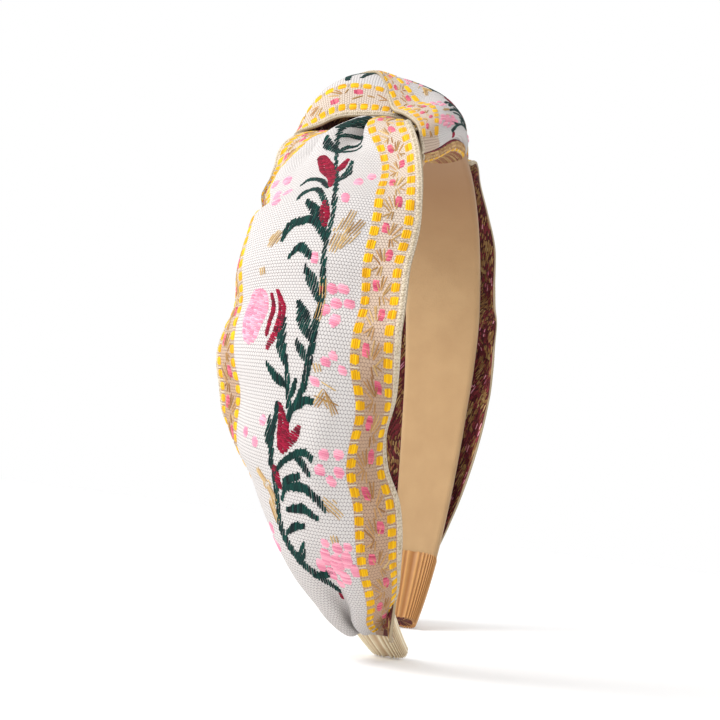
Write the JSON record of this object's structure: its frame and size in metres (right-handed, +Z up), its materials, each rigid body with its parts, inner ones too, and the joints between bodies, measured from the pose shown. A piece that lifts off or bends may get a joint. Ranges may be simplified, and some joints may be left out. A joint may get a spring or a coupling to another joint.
{
  "type": "knotted headband",
  "caption": "Sprung C-shaped headband with a woven floral ribbon arched over each arm, a knot on the crown, a soft inner lining and ribbed ribbon round both tips.",
  "frame": {"origin": "middle of the object's box in plan, at the height of the tips it stands on", "axes": "X across the head from the left arm to the right arm, Y along the width of the band, Z up from the tips to the knot"},
  "size_m": [0.1744, 0.045, 0.1605],
  "materials": {
    "band_plastic": "smooth moulded plastic, hidden under the fabric",
    "lining_suede": "smooth tan suede-like fabric with a fine nap",
    "woven_ribbon": "off-white basket weave with raised floral figures and two rows of yellow floats along each edge",
    "ribbed_ribbon": "tan ribbed ribbon with a soft sheen"
  },
  "bodies": {
    "crown": {"core_crown": "band_plastic", "lining_crown": "lining_suede", "knot_over_wrap": "woven_ribbon", "knot_cross_wrap": "woven_ribbon", "knot_under_pass": "woven_ribbon"},
    "arm_left": {"core_left": "band_plastic", "lining_left": "lining_suede", "ribbon_left": "woven_ribbon", "end_wrap_left": "ribbed_ribbon"},
    "arm_right": {"core_right": "band_plastic", "lining_right": "lining_suede", "ribbon_right": "woven_ribbon", "end_wrap_right": "ribbed_ribbon"}
  },
  "joints": [
    {"name": "flex_left", "type": "hinge", "parent": "crown", "child": "arm_left", "pos_m": [-0.02467, -0.00174, 0.13488], "axis": [0, 1, 0], "range_deg": [-5, 14], "stiffness_Nm_per_rad": 1.8},
    {"name": "flex_right", "type": "hinge", "parent": "crown", "child": "arm_right", "pos_m": [0.02467, -0.00174, 0.13488], "axis": [0, -1, 0], "range_deg": [-5, 14], "stiffness_Nm_per_rad": 1.8}
  ]
}
